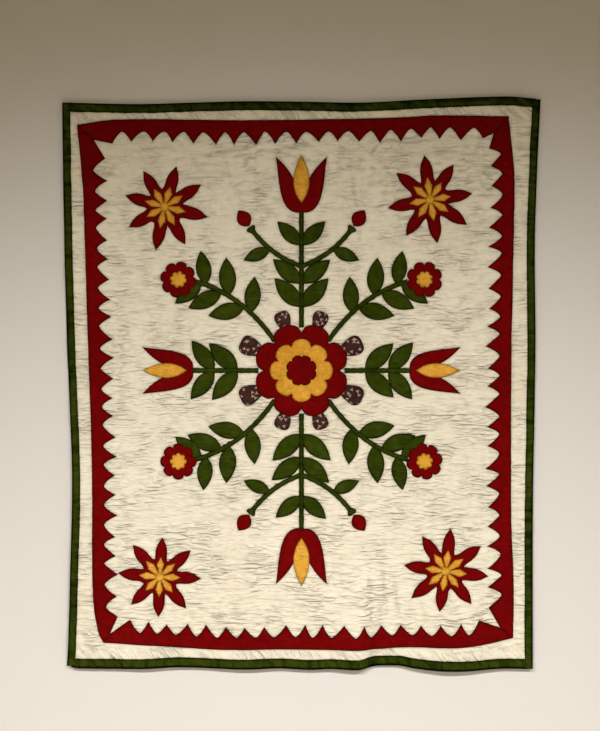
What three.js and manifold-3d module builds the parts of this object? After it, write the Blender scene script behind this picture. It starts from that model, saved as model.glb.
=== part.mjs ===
// An appliquéd and hand-quilted crib quilt, as it hangs on a wall from its top edge.
// Millimetres: X runs to the right, Z up, and the front faces -Y. The origin is the middle
// of the top edge, half way through the cloth.
//
// Every piece is cut from the same wavy grid, so patches and binding follow the cloth's
// facets a small gap away from them.

import * as THREE from 'three';
import Module from 'manifold-3d';
import { mergeGeometries, mergeVertices } from 'three/addons/utils/BufferGeometryUtils.js';

const wasm = await Module();
wasm.setup();

// Driving dimensions

const CLOTH_THICKNESS = 4; // top, wadding and back cloth, quilted together
const PATCH_THICKNESS = 0.8; // a printed cotton patch with its edge turned under
const GAP = 0.35; // between neighbouring pieces
const BINDING_TOP = 18; // how much of the green binding shows along the top
const BINDING_SIDE = 15;
const BINDING_FOOT = 20;
const BORDER_DEPTH = 25; // the plain part of the red border
const TOOTH_LENGTH = 24; // its teeth beyond that
const STEM_WIDTH = 10;
const MEDALLION_HEIGHT = -562; // the centre of the medallion below the top edge

const FIRST_LAYER = GAP;
const SECOND_LAYER = FIRST_LAYER + PATCH_THICKNESS + GAP;
const THIRD_LAYER = SECOND_LAYER + PATCH_THICKNESS + GAP;
const WRAP = GAP + PATCH_THICKNESS; // how far the binding stands out round the body
const THROUGH = 120; // half the depth of a cutting prism, well past the folds

// The hung outline. "at" is a place along an edge, "edge" where the edge runs there.

const topEdge = [
  { at: -500, edge: -2 }, { at: -346, edge: -5 }, { at: -235, edge: -2 }, { at: -116, edge: 1 },
  { at: 0, edge: 0 }, { at: 128, edge: -2 }, { at: 260, edge: 5 }, { at: 430, edge: 11 },
  { at: 482, edge: 7 }, { at: 500, edge: 5 },
];
const footEdge = [
  { at: -490, edge: -1179 }, { at: -469, edge: -1184 }, { at: -333, edge: -1185 },
  { at: -256, edge: -1182 }, { at: -124, edge: -1186 }, { at: -47, edge: -1184 },
  { at: 18, edge: -1187 }, { at: 62, edge: -1185 }, { at: 120, edge: -1186 },
  { at: 153, edge: -1180 }, { at: 206, edge: -1179 }, { at: 229, edge: -1183 },
  { at: 264, edge: -1187 }, { at: 300, edge: -1189 }, { at: 346, edge: -1189 },
  { at: 411, edge: -1185 }, { at: 483, edge: -1185 },
];
const leftEdge = [
  { at: -1179, edge: -490 }, { at: -1134, edge: -487 }, { at: -917, edge: -481 },
  { at: -791, edge: -479 }, { at: -666, edge: -483 }, { at: -498, edge: -491 },
  { at: -164, edge: -498 }, { at: -2, edge: -500 },
];
const rightEdge = [
  { at: -1185, edge: 483 }, { at: -833, edge: 484 }, { at: -666, edge: 487 },
  { at: -498, edge: 489 }, { at: -310, edge: 488 }, { at: -164, edge: 492 }, { at: 5, edge: 500 },
];

// The red border's outer edge, in the same way.

const borderTop = [
  { at: -469, edge: -49 }, { at: -388, edge: -38 }, { at: -116, edge: -39 }, { at: 128, edge: -36 },
  { at: 218, edge: -33 }, { at: 275, edge: -29 }, { at: 433, edge: -31 },
];
const borderFoot = [
  { at: -413, edge: -1130 }, { at: -331, edge: -1135 }, { at: -187, edge: -1144 },
  { at: 0, edge: -1144 }, { at: 133, edge: -1145 }, { at: 212, edge: -1140 },
  { at: 321, edge: -1140 }, { at: 392, edge: -1132 }, { at: 442, edge: -1121 },
];
const borderLeft = [
  { at: -1130, edge: -413 }, { at: -1109, edge: -424 }, { at: -1025, edge: -435 },
  { at: -736, edge: -438 }, { at: -498, edge: -447 }, { at: -197, edge: -456 }, { at: -49, edge: -469 },
];
const borderRight = [
  { at: -1121, edge: 442 }, { at: -990, edge: 443 }, { at: -880, edge: 439 }, { at: -665, edge: 438 },
  { at: -498, edge: 439 }, { at: -266, edge: 444 }, { at: -149, edge: 445 }, { at: -31, edge: 433 },
];

// Soft folds that run down the cloth and fade out above "from". "leftHalf" and "rightHalf" are
// how far each flank spreads, and "proud" is how far the fold stands off the wall at the foot.

const hangingFolds = [
  { across: -462, leftHalf: 60, rightHalf: 55, proud: 4, from: -420 },
  { across: -335, leftHalf: 60, rightHalf: 60, proud: 5, from: -760 },
  { across: -120, leftHalf: 75, rightHalf: 80, proud: 6, from: -820 },
  { across: 22, leftHalf: 50, rightHalf: 48, proud: 4, from: -900 },
  { across: 116, leftHalf: 52, rightHalf: 24, proud: 12, from: -900 },
  { across: 322, leftHalf: 82, rightHalf: 78, proud: 10, from: -840 },
  { across: 470, leftHalf: 34, rightHalf: 50, proud: 3, from: -520 },
];

// Broad swells over the whole cloth: their size and their lengths across and down.

const swells = [
  { size: 2.2, across: 610, down: 830, shift: 0.6 },
  { size: 1.3, across: 283, down: 371, shift: 2.1 },
  { size: 0.8, across: 171, down: 157, shift: 4.4 },
];

// Stations of the grid: each run ends at a place and is cut into equal steps.

const columnRuns = [
  { end: -440, steps: 1 }, { end: 65, steps: 9 }, { end: 208, steps: 6 }, { end: 440, steps: 5 },
  { end: 500, steps: 1 },
];
const rowRuns = [
  { end: -60, steps: 1 }, { end: -840, steps: 9 }, { end: -1125, steps: 6 }, { end: -1185, steps: 1 },
];

// Corner flowers: centre, radius and the turn of the first petal in degrees.

const cornerFlowers = [
  { name: 'top_left', across: -286, height: -220, radius: 87, turn: 31 },
  { name: 'top_right', across: 269, height: -205, radius: 88, turn: 9 },
  { name: 'foot_left', across: -296, height: -993, radius: 84, turn: -3 },
  { name: 'foot_right', across: 301, height: -981, radius: 86, turn: -9 },
];

// Straight sprigs of the medallion: direction in degrees, the stem's end, and the tulip's size.

const straightSprigs = [
  { name: 'upper', turn: 90, end: 330, tulip: 116 },
  { name: 'right', turn: 0, end: 226, tulip: 106 },
  { name: 'lower', turn: 270, end: 330, tulip: 116 },
  { name: 'left', turn: 180, end: 226, tulip: 106 },
];

// Leaf pairs on a straight sprig: distance from the centre, length and angle to the stem.

const leafPairs = [
  { distance: 133, length: 82, angle: 46 },
  { distance: 182, length: 78, angle: 50 },
  { distance: 262, length: 70, angle: 48 },
];

// Curved sprigs: one side of each stem's curve, mirrored into the four quarters.

const curvedSprigs = [
  { name: 'upper_right', across: 1, up: 1 },
  { name: 'upper_left', across: -1, up: 1 },
  { name: 'lower_left', across: -1, up: -1 },
  { name: 'lower_right', across: 1, up: -1 },
];
const curvedStem = { start: [56, 62], bend: [124, 160], end: [222, 186] };
const curvedLeaves = [
  { along: 0.34, length: 76, angle: 50 }, { along: 0.42, length: 78, angle: -50 },
  { along: 0.62, length: 80, angle: 54 }, { along: 0.7, length: 78, angle: -52 },
  { along: 0.88, length: 72, angle: 62 }, { along: 0.93, length: 70, angle: -58 },
];

// Small helpers

const colour = (name) => ({ // one plain colour for each cotton
  cream: 0xe2d6bb, green: 0x34470d, red: 0x6e0c0e, gold: 0xb98322, brown: 0x4a2c24,
}[name]);

const mix = (from, to, share) => from + (to - from) * share;
const radians = (degrees) => degrees * Math.PI / 180;
const uneven = (number, size) => size * Math.sin(number * 12.9898 + Math.cos(number * 4.1) * 3);

function smoothStep(from, to, value) {
  const share = Math.min(1, Math.max(0, (value - from) / (to - from)));
  return share * share * (3 - 2 * share);
}

// A smooth curve through the rows of an edge table.
function edgeAt(table, at) {
  let row = 0;
  while (row < table.length - 2 && at > table[row + 1].at) row += 1;
  const before = table[Math.max(0, row - 1)];
  const start = table[row];
  const end = table[row + 1];
  const after = table[Math.min(table.length - 1, row + 2)];
  const length = end.at - start.at;
  const share = Math.min(1, Math.max(0, (at - start.at) / length));
  const startSlope = (end.edge - before.edge) / (end.at - before.at || length) * length;
  const endSlope = (after.edge - start.edge) / (after.at - start.at || length) * length;
  const square = share * share;
  const cube = square * share;
  return (2 * cube - 3 * square + 1) * start.edge + (cube - 2 * square + share) * startSlope
    + (3 * square - 2 * cube) * end.edge + (cube - square) * endSlope;
}

const stationsOf = (start, runs) => {
  const stations = [start];
  for (const run of runs) {
    const from = stations[stations.length - 1];
    for (let step = 1; step <= run.steps; step += 1) {
      stations.push(mix(from, run.end, step / run.steps));
    }
  }
  const end = stations[stations.length - 1];
  return stations.map((station) => (station - start) / (end - start));
};
const columns = stationsOf(-500, columnRuns);
const rows = stationsOf(0, rowRuns);

const cornerOf = (acrossTable, first, heightTable, firstHeight) => ({
  across: acrossTable[first ? 0 : acrossTable.length - 1].at,
  height: heightTable[firstHeight ? 0 : heightTable.length - 1].at,
});
const topLeft = cornerOf(topEdge, true, leftEdge, false);
const topRight = cornerOf(topEdge, false, rightEdge, false);
const footLeft = cornerOf(footEdge, true, leftEdge, true);
const footRight = cornerOf(footEdge, false, rightEdge, true);

// Where a place in the flat cloth hangs, seen from the front: both shares run from 0 to 1.
function hangingPlace(acrossShare, downShare) {
  const left = edgeAt(leftEdge, mix(topLeft.height, footLeft.height, downShare));
  const right = edgeAt(rightEdge, mix(topRight.height, footRight.height, downShare));
  const top = edgeAt(topEdge, mix(topLeft.across, topRight.across, acrossShare));
  const foot = edgeAt(footEdge, mix(footLeft.across, footRight.across, acrossShare));
  return { across: mix(left, right, acrossShare), height: mix(top, foot, downShare) };
}

// How far the middle of the cloth stands forward of the top edge's line.
function forwardAt(across, height) {
  let forward = 0;
  for (const fold of hangingFolds) {
    const half = across < fold.across ? fold.leftHalf : fold.rightHalf;
    const offset = (across - fold.across) / half;
    const growth = smoothStep(fold.from, -1185, height);
    forward += fold.proud * growth * Math.exp(-offset * offset);
  }
  const loose = smoothStep(0, -300, height);
  for (const swell of swells) {
    const wave = Math.sin(across * 2 * Math.PI / swell.across + swell.shift)
      * Math.cos(height * 2 * Math.PI / swell.down + swell.shift);
    forward += swell.size * wave * mix(0.35, 1, loose);
  }
  return forward;
}

// A closed sheet on the hanging grid, from "back" to "front" forward of the cloth's middle,
// with its outline moved out by "grow".
function sheetGeometry(back, front, grow) {
  const lastColumn = columns.length - 1;
  const lastRow = rows.length - 1;
  const pointAt = (column, row, depth) => {
    const { across, height } = hangingPlace(columns[column], rows[row]);
    const acrossGrow = column === 0 ? -grow : column === lastColumn ? grow : 0;
    const heightGrow = row === 0 ? grow : row === lastRow ? -grow : 0;
    return [across + acrossGrow, -(forwardAt(across, height) + depth), height + heightGrow];
  };
  const bent = (plane, pointOf) => {
    const position = plane.attributes.position;
    for (let index = 0; index < position.count; index += 1) position.setXYZ(index, ...pointOf(index));
    return plane;
  };
  const face = (depth) => bent(
    new THREE.PlaneGeometry(1, 1, lastColumn, lastRow),
    (index) => pointAt(index % columns.length, Math.floor(index / columns.length), depth),
  );
  const backFace = face(back);
  backFace.index.array.reverse(); // so that it faces the wall
  const round = [];
  for (let column = lastColumn; column > 0; column -= 1) round.push([column, 0]);
  for (let row = 0; row < lastRow; row += 1) round.push([0, row]);
  for (let column = 0; column < lastColumn; column += 1) round.push([column, lastRow]);
  for (let row = lastRow; row >= 0; row -= 1) round.push([lastColumn, row]);
  const rim = bent(
    new THREE.PlaneGeometry(1, 1, round.length - 1, 1),
    (index) => pointAt(...round[index % round.length], index < round.length ? front : back),
  );
  return mergeGeometries([face(front), backFace, rim]);
}

function solidOf(geometry) {
  const plain = geometry.clone();
  plain.deleteAttribute('normal');
  plain.deleteAttribute('uv');
  const merged = mergeVertices(plain, 1e-4);
  return new wasm.Manifold(new wasm.Mesh({
    numProp: 3,
    vertProperties: new Float32Array(merged.attributes.position.array),
    triVerts: new Uint32Array(merged.index.array),
  }));
}

function geometryOf(solid) {
  const mesh = solid.getMesh();
  const geometry = new THREE.BufferGeometry();
  geometry.setAttribute('position', new THREE.BufferAttribute(new Float32Array(mesh.vertProperties), 3));
  geometry.setIndex(new THREE.BufferAttribute(new Uint32Array(mesh.triVerts), 1));
  return geometry;
}

// A prism right through the folds, from an outline seen from the front.
function prismOf(shape, curveSegments = 4) {
  const geometry = new THREE.ExtrudeGeometry(shape, {
    depth: 2 * THROUGH, bevelEnabled: false, curveSegments, steps: 1,
  });
  geometry.rotateX(Math.PI / 2);
  geometry.translate(0, THROUGH, 0);
  return solidOf(geometry);
}

const shapeThrough = (points) => new THREE.Shape(points.map(([x, y]) => new THREE.Vector2(x, y)));

// Sheets that the pieces are cut from

const HALF = CLOTH_THICKNESS / 2;
const patchSheet = (layer) => solidOf(
  sheetGeometry(HALF + layer, HALF + layer + PATCH_THICKNESS, -WRAP),
);
const firstSheet = patchSheet(FIRST_LAYER);
const secondSheet = patchSheet(SECOND_LAYER);
const thirdSheet = patchSheet(THIRD_LAYER);
const bindingSheet = solidOf(sheetGeometry(-HALF - WRAP, HALF + WRAP, 0))
  .subtract(solidOf(sheetGeometry(-HALF - GAP, HALF + GAP, -PATCH_THICKNESS)));

const quilt = new THREE.Group();

function addPiece(name, geometry, tint) {
  const material = new THREE.MeshStandardMaterial({
    color: colour(tint), roughness: 0.9, metalness: 0,
  });
  const mesh = new THREE.Mesh(geometry, material);
  mesh.name = name;
  quilt.add(mesh);
}

const addPatch = (name, sheet, cutter, tint) => addPiece(name, geometryOf(sheet.intersect(cutter)), tint);

// Quilt body

addPiece('quilt_body', sheetGeometry(-HALF, HALF, -WRAP), 'cream');

// Binding: the side strips run the full height and the other two butt against them.

const PAST_OUTLINE = 40;

// A band along one edge of the quilt, "width" deep and reaching past the outline.
function edgeBand(table, outward, lying, width) {
  const steps = 9;
  const start = table[0].at - PAST_OUTLINE;
  const end = table[table.length - 1].at + PAST_OUTLINE;
  const points = [];
  for (let step = 0; step <= steps; step += 1) {
    const at = mix(start, end, step / steps);
    points.push([at, edgeAt(table, at) - outward * width]);
  }
  const far = table[0].edge + outward * PAST_OUTLINE;
  points.push([end, far], [start, far]);
  return prismOf(shapeThrough(lying ? points : points.map(([at, across]) => [across, at])));
}

const besideLeft = edgeBand(leftEdge, -1, false, BINDING_SIDE + GAP);
const besideRight = edgeBand(rightEdge, 1, false, BINDING_SIDE + GAP);
const betweenSides = (band) => band.subtract(besideLeft).subtract(besideRight);
addPatch('binding_left', bindingSheet, edgeBand(leftEdge, -1, false, BINDING_SIDE), 'green');
addPatch('binding_right', bindingSheet, edgeBand(rightEdge, 1, false, BINDING_SIDE), 'green');
addPatch('binding_top', bindingSheet, betweenSides(edgeBand(topEdge, 1, true, BINDING_TOP)), 'green');
addPatch('binding_foot', bindingSheet, betweenSides(edgeBand(footEdge, -1, true, BINDING_FOOT)), 'green');

// Dogtooth border: four mitred strips with sharp teeth that point inwards and round notches.

// "first" and "last" are the tips' places nearest to the corners, "count" the number of tips.
const borderSides = [
  {
    name: 'border_top', table: borderTop, inward: -1, lying: true,
    first: -396, last: 377, count: 19, corners: [[-434, -80], [402, -66]],
  },
  {
    name: 'border_foot', table: borderFoot, inward: 1, lying: true,
    first: -360, last: 373, count: 19, corners: [[-400, -1112], [415, -1099]],
  },
  {
    name: 'border_left', table: borderLeft, inward: 1, lying: false,
    first: -1073, last: -122, count: 24, corners: [[-400, -1112], [-434, -80]],
  },
  {
    name: 'border_right', table: borderRight, inward: -1, lying: false,
    first: -1058, last: -95, count: 24, corners: [[415, -1099], [402, -66]],
  },
];

function borderOutline(side, seed) {
  const { table, inward, lying } = side;
  const place = (at, depth) => {
    const across = edgeAt(table, at) + inward * depth;
    return lying ? [at, across] : [across, at];
  };
  const start = table[0].at;
  const end = table[table.length - 1].at;
  const outerSteps = 10;
  const points = [];
  for (let step = 0; step <= outerSteps; step += 1) {
    points.push(place(mix(start, end, step / outerSteps), 0));
  }
  points.push(side.corners[1]);
  const pitch = (side.last - side.first) / (side.count - 1);
  for (let tooth = side.count - 1; tooth >= 0; tooth -= 1) {
    const tip = side.first + tooth * pitch + uneven(tooth + seed, 3);
    const length = BORDER_DEPTH + TOOTH_LENGTH + uneven(tooth * 3 + seed, 3);
    points.push(place(tip + pitch * 0.36, BORDER_DEPTH + TOOTH_LENGTH * 0.18));
    points.push(place(tip, length));
    points.push(place(tip - pitch * 0.36, BORDER_DEPTH + TOOTH_LENGTH * 0.18));
    if (tooth > 0) points.push(place(tip - pitch * 0.5, BORDER_DEPTH));
  }
  points.push(side.corners[0]);
  return points;
}

// A strip ends a hair before its mitre, the line from the border's outer corner to its inner one.
function borderCutter(side, seed) {
  const far = 90;
  const beyondMitre = (inner, outer, away) => {
    const line = new THREE.Vector2(inner[0] - outer[0], inner[1] - outer[1]).normalize();
    const across = new THREE.Vector2(-line.y, line.x);
    if (across.dot(away) < 0) across.negate();
    const at = (along, out) => [
      outer[0] + line.x * along + across.x * out, outer[1] + line.y * along + across.y * out,
    ];
    return shapeThrough([at(-far, -GAP / 2), at(far, -GAP / 2), at(far, far), at(-far, far)]);
  };
  const last = side.table.length - 1;
  let cutter = prismOf(shapeThrough(borderOutline(side, seed)));
  for (const [corner, row, sign] of [[side.corners[0], 0, -1], [side.corners[1], last, 1]]) {
    const { at, edge } = side.table[row];
    const outer = side.lying ? [at, edge] : [edge, at];
    const away = side.lying ? new THREE.Vector2(sign, 0) : new THREE.Vector2(0, sign);
    cutter = cutter.subtract(prismOf(beyondMitre(corner, outer, away)));
  }
  return cutter;
}
borderSides.forEach((side, index) => {
  addPatch(side.name, firstSheet, borderCutter(side, index * 31), 'red');
});

// Corner flowers: eight spear petals with an eight-pointed star of diamonds on them.

// "stops" are the outline's points from one valley to the next: share of the radius and of the
// half angle between two petals.
function rayedOutline(flower, size, stops, seed) {
  const points = [];
  for (let ray = 0; ray < 8; ray += 1) {
    const axis = flower.turn + ray * 45 + uneven(ray + seed, 2.4);
    const reach = flower.radius * size * (1 + uneven(ray * 2 + seed, 0.04));
    for (const stop of stops) {
      const angle = radians(axis + stop.side * 22.5);
      points.push([
        flower.across + Math.cos(angle) * reach * stop.out,
        flower.height + Math.sin(angle) * reach * stop.out,
      ]);
    }
  }
  return points;
}
const petalStops = [
  { side: -1, out: 0.45 }, { side: -0.6, out: 0.68 }, { side: 0, out: 1 }, { side: 0.6, out: 0.68 },
];
const diamondStops = [
  { side: -1, out: 0.24 }, { side: -0.72, out: 0.66 }, { side: 0, out: 1 }, { side: 0.72, out: 0.66 },
];

cornerFlowers.forEach((flower, index) => {
  const seed = index * 17;
  const petals = shapeThrough(rayedOutline(flower, 1, petalStops, seed));
  const star = shapeThrough(rayedOutline(flower, 0.52, diamondStops, seed));
  addPatch(`flower_${flower.name}`, firstSheet, prismOf(petals), 'red');
  addPatch(`star_${flower.name}`, secondSheet, prismOf(star), 'gold');
});

// Medallion pieces. Each is drawn about its own base, pointing along +X, then placed.

function placed(points, across, up, turn) {
  const cosine = Math.cos(radians(turn));
  const sine = Math.sin(radians(turn));
  return points.map(([x, y]) => [
    across + x * cosine - y * sine,
    MEDALLION_HEIGHT + up + x * sine + y * cosine,
  ]);
}

const outlineOf = (shape, steps) => shape.getPoints(steps).map((point) => [point.x, point.y]);

function leafOutline(length, width) {
  const leaf = new THREE.Shape();
  leaf.moveTo(0, 0);
  leaf.bezierCurveTo(length * 0.25, width * 0.62, length * 0.62, width * 0.66, length, 0);
  leaf.bezierCurveTo(length * 0.62, -width * 0.66, length * 0.25, -width * 0.62, 0, 0);
  return outlineOf(leaf, 4);
}

// A round flower head of even scallops.
function scallopOutline(radius, lobes, depth) {
  const points = [];
  const stepsInLobe = 3;
  for (let step = 0; step < lobes * stepsInLobe; step += 1) {
    const angle = step * 2 * Math.PI / (lobes * stepsInLobe);
    const bulge = Math.sqrt(Math.abs(Math.sin(angle * lobes / 2)));
    const reach = radius * (1 - depth + depth * bulge);
    points.push([Math.cos(angle) * reach, Math.sin(angle) * reach]);
  }
  return points;
}

function tulipOutline(size) {
  const tulip = new THREE.Shape();
  tulip.moveTo(0, -size * 0.1);
  tulip.bezierCurveTo(size * 0.05, -size * 0.42, size * 0.62, -size * 0.4, size, -size * 0.46);
  tulip.quadraticCurveTo(size * 0.78, -size * 0.2, size * 0.52, -size * 0.1);
  tulip.lineTo(size * 0.52, size * 0.1);
  tulip.quadraticCurveTo(size * 0.78, size * 0.2, size, size * 0.46);
  tulip.bezierCurveTo(size * 0.62, size * 0.4, size * 0.05, size * 0.42, 0, size * 0.1);
  return outlineOf(tulip, 4);
}

// A teardrop, round at its outer end.
function dropOutline(length, width) {
  const drop = new THREE.Shape();
  drop.moveTo(0, -width * 0.12);
  drop.bezierCurveTo(length * 0.5, -width * 0.55, length * 1.05, -width * 0.75, length, 0);
  drop.bezierCurveTo(length * 1.05, width * 0.75, length * 0.5, width * 0.55, 0, width * 0.12);
  return outlineOf(drop, 4);
}

// A stem of even width along a curve.
function stemOutline(curve, steps) {
  const left = [];
  const right = [];
  for (let step = 0; step <= steps; step += 1) {
    const point = curve.getPoint(step / steps);
    const along = curve.getTangent(step / steps);
    left.push([point.x - along.y * STEM_WIDTH / 2, point.y + along.x * STEM_WIDTH / 2]);
    right.unshift([point.x + along.y * STEM_WIDTH / 2, point.y - along.x * STEM_WIDTH / 2]);
  }
  return [...right, ...left];
}

const cutterOf = (points) => prismOf(shapeThrough(points));
const LEAF_SLENDERNESS = 0.47;
const ROSE_RADIUS = 100;
const ROSETTE_RADIUS = 38;
const ROUND_CLEARANCE = GAP * 1.5; // outside a scalloped round, so that its notches clear too

const roundRose = cutterOf(placed(scallopOutline(ROSE_RADIUS + ROUND_CLEARANCE, 8, 0.2), 0, 0, 0));

function leafCutter(across, up, turn, length) {
  const leaf = leafOutline(length, length * LEAF_SLENDERNESS);
  return cutterOf(placed(leaf, across, up, turn));
}

function straightSprig(sprig, seed) {
  const direction = new THREE.Vector2(Math.cos(radians(sprig.turn)), Math.sin(radians(sprig.turn)));
  const lineAt = (distance) => [direction.x * distance, direction.y * distance];
  const line = new THREE.LineCurve(
    direction.clone().multiplyScalar(ROSE_RADIUS - 10),
    direction.clone().multiplyScalar(sprig.end - GAP),
  );
  let cutter = cutterOf(placed(stemOutline(line, 1), 0, 0, 0));
  leafPairs.filter((pair) => pair.distance < sprig.end - 20).forEach((pair, index) => {
    for (const sign of [1, -1]) {
      const [across, up] = lineAt(pair.distance);
      const turn = sprig.turn + sign * (pair.angle + uneven(index + seed + sign, 3));
      cutter = cutter.add(leafCutter(across, up, turn, pair.length));
    }
  });
  return cutter;
}

// Small side branches of the upper and lower sprigs, each with a bud at its end.

const branch = { start: 218, bend: [66, 240], end: [108, 300], bud: 40 };

function branchCurve(side, up) {
  return new THREE.QuadraticBezierCurve(
    new THREE.Vector2(0, up * branch.start),
    new THREE.Vector2(side * branch.bend[0], up * branch.bend[1]),
    new THREE.Vector2(side * branch.end[0], up * branch.end[1]),
  );
}

function branchCutter(side, up) {
  const curve = branchCurve(side, up);
  const tangent = curve.getTangent(1);
  const turn = Math.atan2(tangent.y, tangent.x) * 180 / Math.PI;
  const calyx = placed(dropOutline(14, 20), side * branch.end[0] - tangent.x * 14,
    up * branch.end[1] - tangent.y * 14, turn);
  const middle = curve.getPoint(0.55);
  return cutterOf(placed(stemOutline(curve, 5), 0, 0, 0))
    .add(cutterOf(calyx))
    .add(leafCutter(middle.x, middle.y, turn - side * up * 78, 60));
}

function addBud(name, side, up) {
  const tangent = branchCurve(side, up).getTangent(1);
  const turn = Math.atan2(tangent.y, tangent.x) * 180 / Math.PI;
  const start = 2;
  const bud = placed(leafOutline(branch.bud, branch.bud * 0.8),
    side * branch.end[0] + tangent.x * start, up * branch.end[1] + tangent.y * start, turn);
  addPatch(name, firstSheet, cutterOf(bud), 'red');
}

straightSprigs.forEach((sprig, index) => {
  let cutter = straightSprig(sprig, index * 7);
  const up = Math.round(Math.sin(radians(sprig.turn)));
  const [across, height] = [Math.cos(radians(sprig.turn)), Math.sin(radians(sprig.turn))]
    .map((share) => share * sprig.end);
  if (up !== 0) {
    cutter = cutter.add(branchCutter(1, up)).add(branchCutter(-1, up));
    addBud(`bud_${sprig.name}_right`, 1, up);
    addBud(`bud_${sprig.name}_left`, -1, up);
  }
  const tulip = placed(tulipOutline(sprig.tulip), across, height, sprig.turn);
  const heart = placed(leafOutline(sprig.tulip * 0.86, sprig.tulip * 0.3),
    across * 1.06, height * 1.06, sprig.turn);
  addPatch(`sprig_${sprig.name}`, firstSheet, cutter.subtract(roundRose), 'green');
  addPatch(`tulip_${sprig.name}`, firstSheet, cutterOf(tulip), 'red');
  addPatch(`tulip_heart_${sprig.name}`, secondSheet, cutterOf(heart), 'gold');
});

curvedSprigs.forEach((sprig, index) => {
  const { start, bend, end } = curvedStem;
  const [from, control, to] = [start, bend, end].map(
    ([x, y]) => new THREE.Vector2(x * sprig.across, y * sprig.up),
  );
  const curve = new THREE.QuadraticBezierCurve(from, control, to);
  const mirror = sprig.across * sprig.up;
  let cutter = cutterOf(placed(stemOutline(curve, 6), 0, 0, 0));
  curvedLeaves.forEach((leaf, number) => {
    const point = curve.getPoint(leaf.along);
    const along = curve.getTangent(leaf.along);
    const turn = Math.atan2(along.y, along.x) * 180 / Math.PI
      + mirror * (leaf.angle + uneven(number + index * 5, 3));
    cutter = cutter.add(leafCutter(point.x, point.y, turn, leaf.length));
  });
  const head = [to.x + sprig.across * (ROSETTE_RADIUS - 3), to.y + sprig.up * 4];
  const turn = 11 * index;
  const roundOf = (radius) => cutterOf(placed(scallopOutline(radius, 8, 0.2), head[0], head[1], turn));
  cutter = cutter.subtract(roundRose).subtract(roundOf(ROSETTE_RADIUS + ROUND_CLEARANCE));
  addPatch(`curved_sprig_${sprig.name}`, firstSheet, cutter, 'green');
  addPatch(`rosette_${sprig.name}`, firstSheet, roundOf(ROSETTE_RADIUS), 'red');
  addPatch(`rosette_heart_${sprig.name}`, secondSheet, roundOf(ROSETTE_RADIUS * 0.46), 'gold');
});

// The rose in the middle: three scalloped rounds with printed petals between the stems.

addPatch('rose_outer', firstSheet, cutterOf(placed(scallopOutline(ROSE_RADIUS, 8, 0.2), 0, 0, 0)), 'red');
addPatch('rose_middle', secondSheet, cutterOf(placed(scallopOutline(66, 8, 0.2), 0, 0, 22.5)), 'gold');
addPatch('rose_centre', thirdSheet, cutterOf(placed(scallopOutline(33, 8, 0.15), 0, 0, 0)), 'red');

// Printed petals that stand out from under the rose between the stems.

const printedPetals = [
  { turn: 25, length: 56 }, { turn: 70, length: 46 }, { turn: 110, length: 46 }, { turn: 155, length: 56 },
  { turn: 205, length: 56 }, { turn: 250, length: 46 }, { turn: 290, length: 46 }, { turn: 335, length: 56 },
];
printedPetals.forEach((petal, index) => {
  const start = ROSE_RADIUS - 16;
  const outline = placed(dropOutline(petal.length, petal.length * 0.72),
    start * Math.cos(radians(petal.turn)), start * Math.sin(radians(petal.turn)), petal.turn);
  addPatch(`printed_petal_${index + 1}`, firstSheet, cutterOf(outline).subtract(roundRose), 'brown');
});

export default quilt;
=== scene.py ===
"""A hung, hand-quilted and appliquéd crib quilt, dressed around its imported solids.

Lengths in the tables and in the cloth's functions are millimetres in the quilt's own frame:
across to the right, height upwards, and forward towards the viewer. The meshes are metres.
"""

import math

import bmesh
import bpy
import numpy as np
from mathutils import Matrix, Vector, kdtree


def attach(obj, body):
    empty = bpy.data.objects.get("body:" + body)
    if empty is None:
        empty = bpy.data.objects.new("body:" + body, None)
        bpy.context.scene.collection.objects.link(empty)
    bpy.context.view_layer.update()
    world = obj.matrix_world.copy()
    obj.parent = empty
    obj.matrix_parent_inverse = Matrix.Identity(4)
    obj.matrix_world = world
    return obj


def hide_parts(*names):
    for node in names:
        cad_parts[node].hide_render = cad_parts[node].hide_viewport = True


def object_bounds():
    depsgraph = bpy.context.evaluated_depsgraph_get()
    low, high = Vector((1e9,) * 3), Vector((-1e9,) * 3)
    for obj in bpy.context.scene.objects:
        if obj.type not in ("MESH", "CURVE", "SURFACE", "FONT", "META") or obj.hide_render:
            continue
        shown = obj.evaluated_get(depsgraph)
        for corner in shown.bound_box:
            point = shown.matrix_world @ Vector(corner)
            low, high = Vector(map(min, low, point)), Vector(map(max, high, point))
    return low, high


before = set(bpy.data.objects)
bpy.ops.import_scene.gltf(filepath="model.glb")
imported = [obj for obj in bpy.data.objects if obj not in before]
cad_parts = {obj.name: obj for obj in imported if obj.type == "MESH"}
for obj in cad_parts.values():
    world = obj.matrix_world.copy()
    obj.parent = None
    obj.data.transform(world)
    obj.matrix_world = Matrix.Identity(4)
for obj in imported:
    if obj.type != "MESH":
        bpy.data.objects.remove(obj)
CAD_LOW, CAD_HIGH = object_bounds()
MM = 0.001

# Sizes shared with the solids

CLOTH_THICKNESS = 4.0
PATCH_THICKNESS = 0.8
BINDING_TOP = 18.0
BINDING_SIDE = 15.0
BINDING_FOOT = 20.0
BORDER_DEPTH = 25.0
TOOTH_LENGTH = 24.0
STEM_WIDTH = 10.0
MEDALLION_HEIGHT = -562.0
ROSE_RADIUS = 100.0
ROSETTE_RADIUS = 38.0
LEAF_SLENDERNESS = 0.47
LAYER_RISE = 1.15
BODY_INSET = 2.6

# The hung outline. Columns: place along the edge, where the edge runs there.

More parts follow.
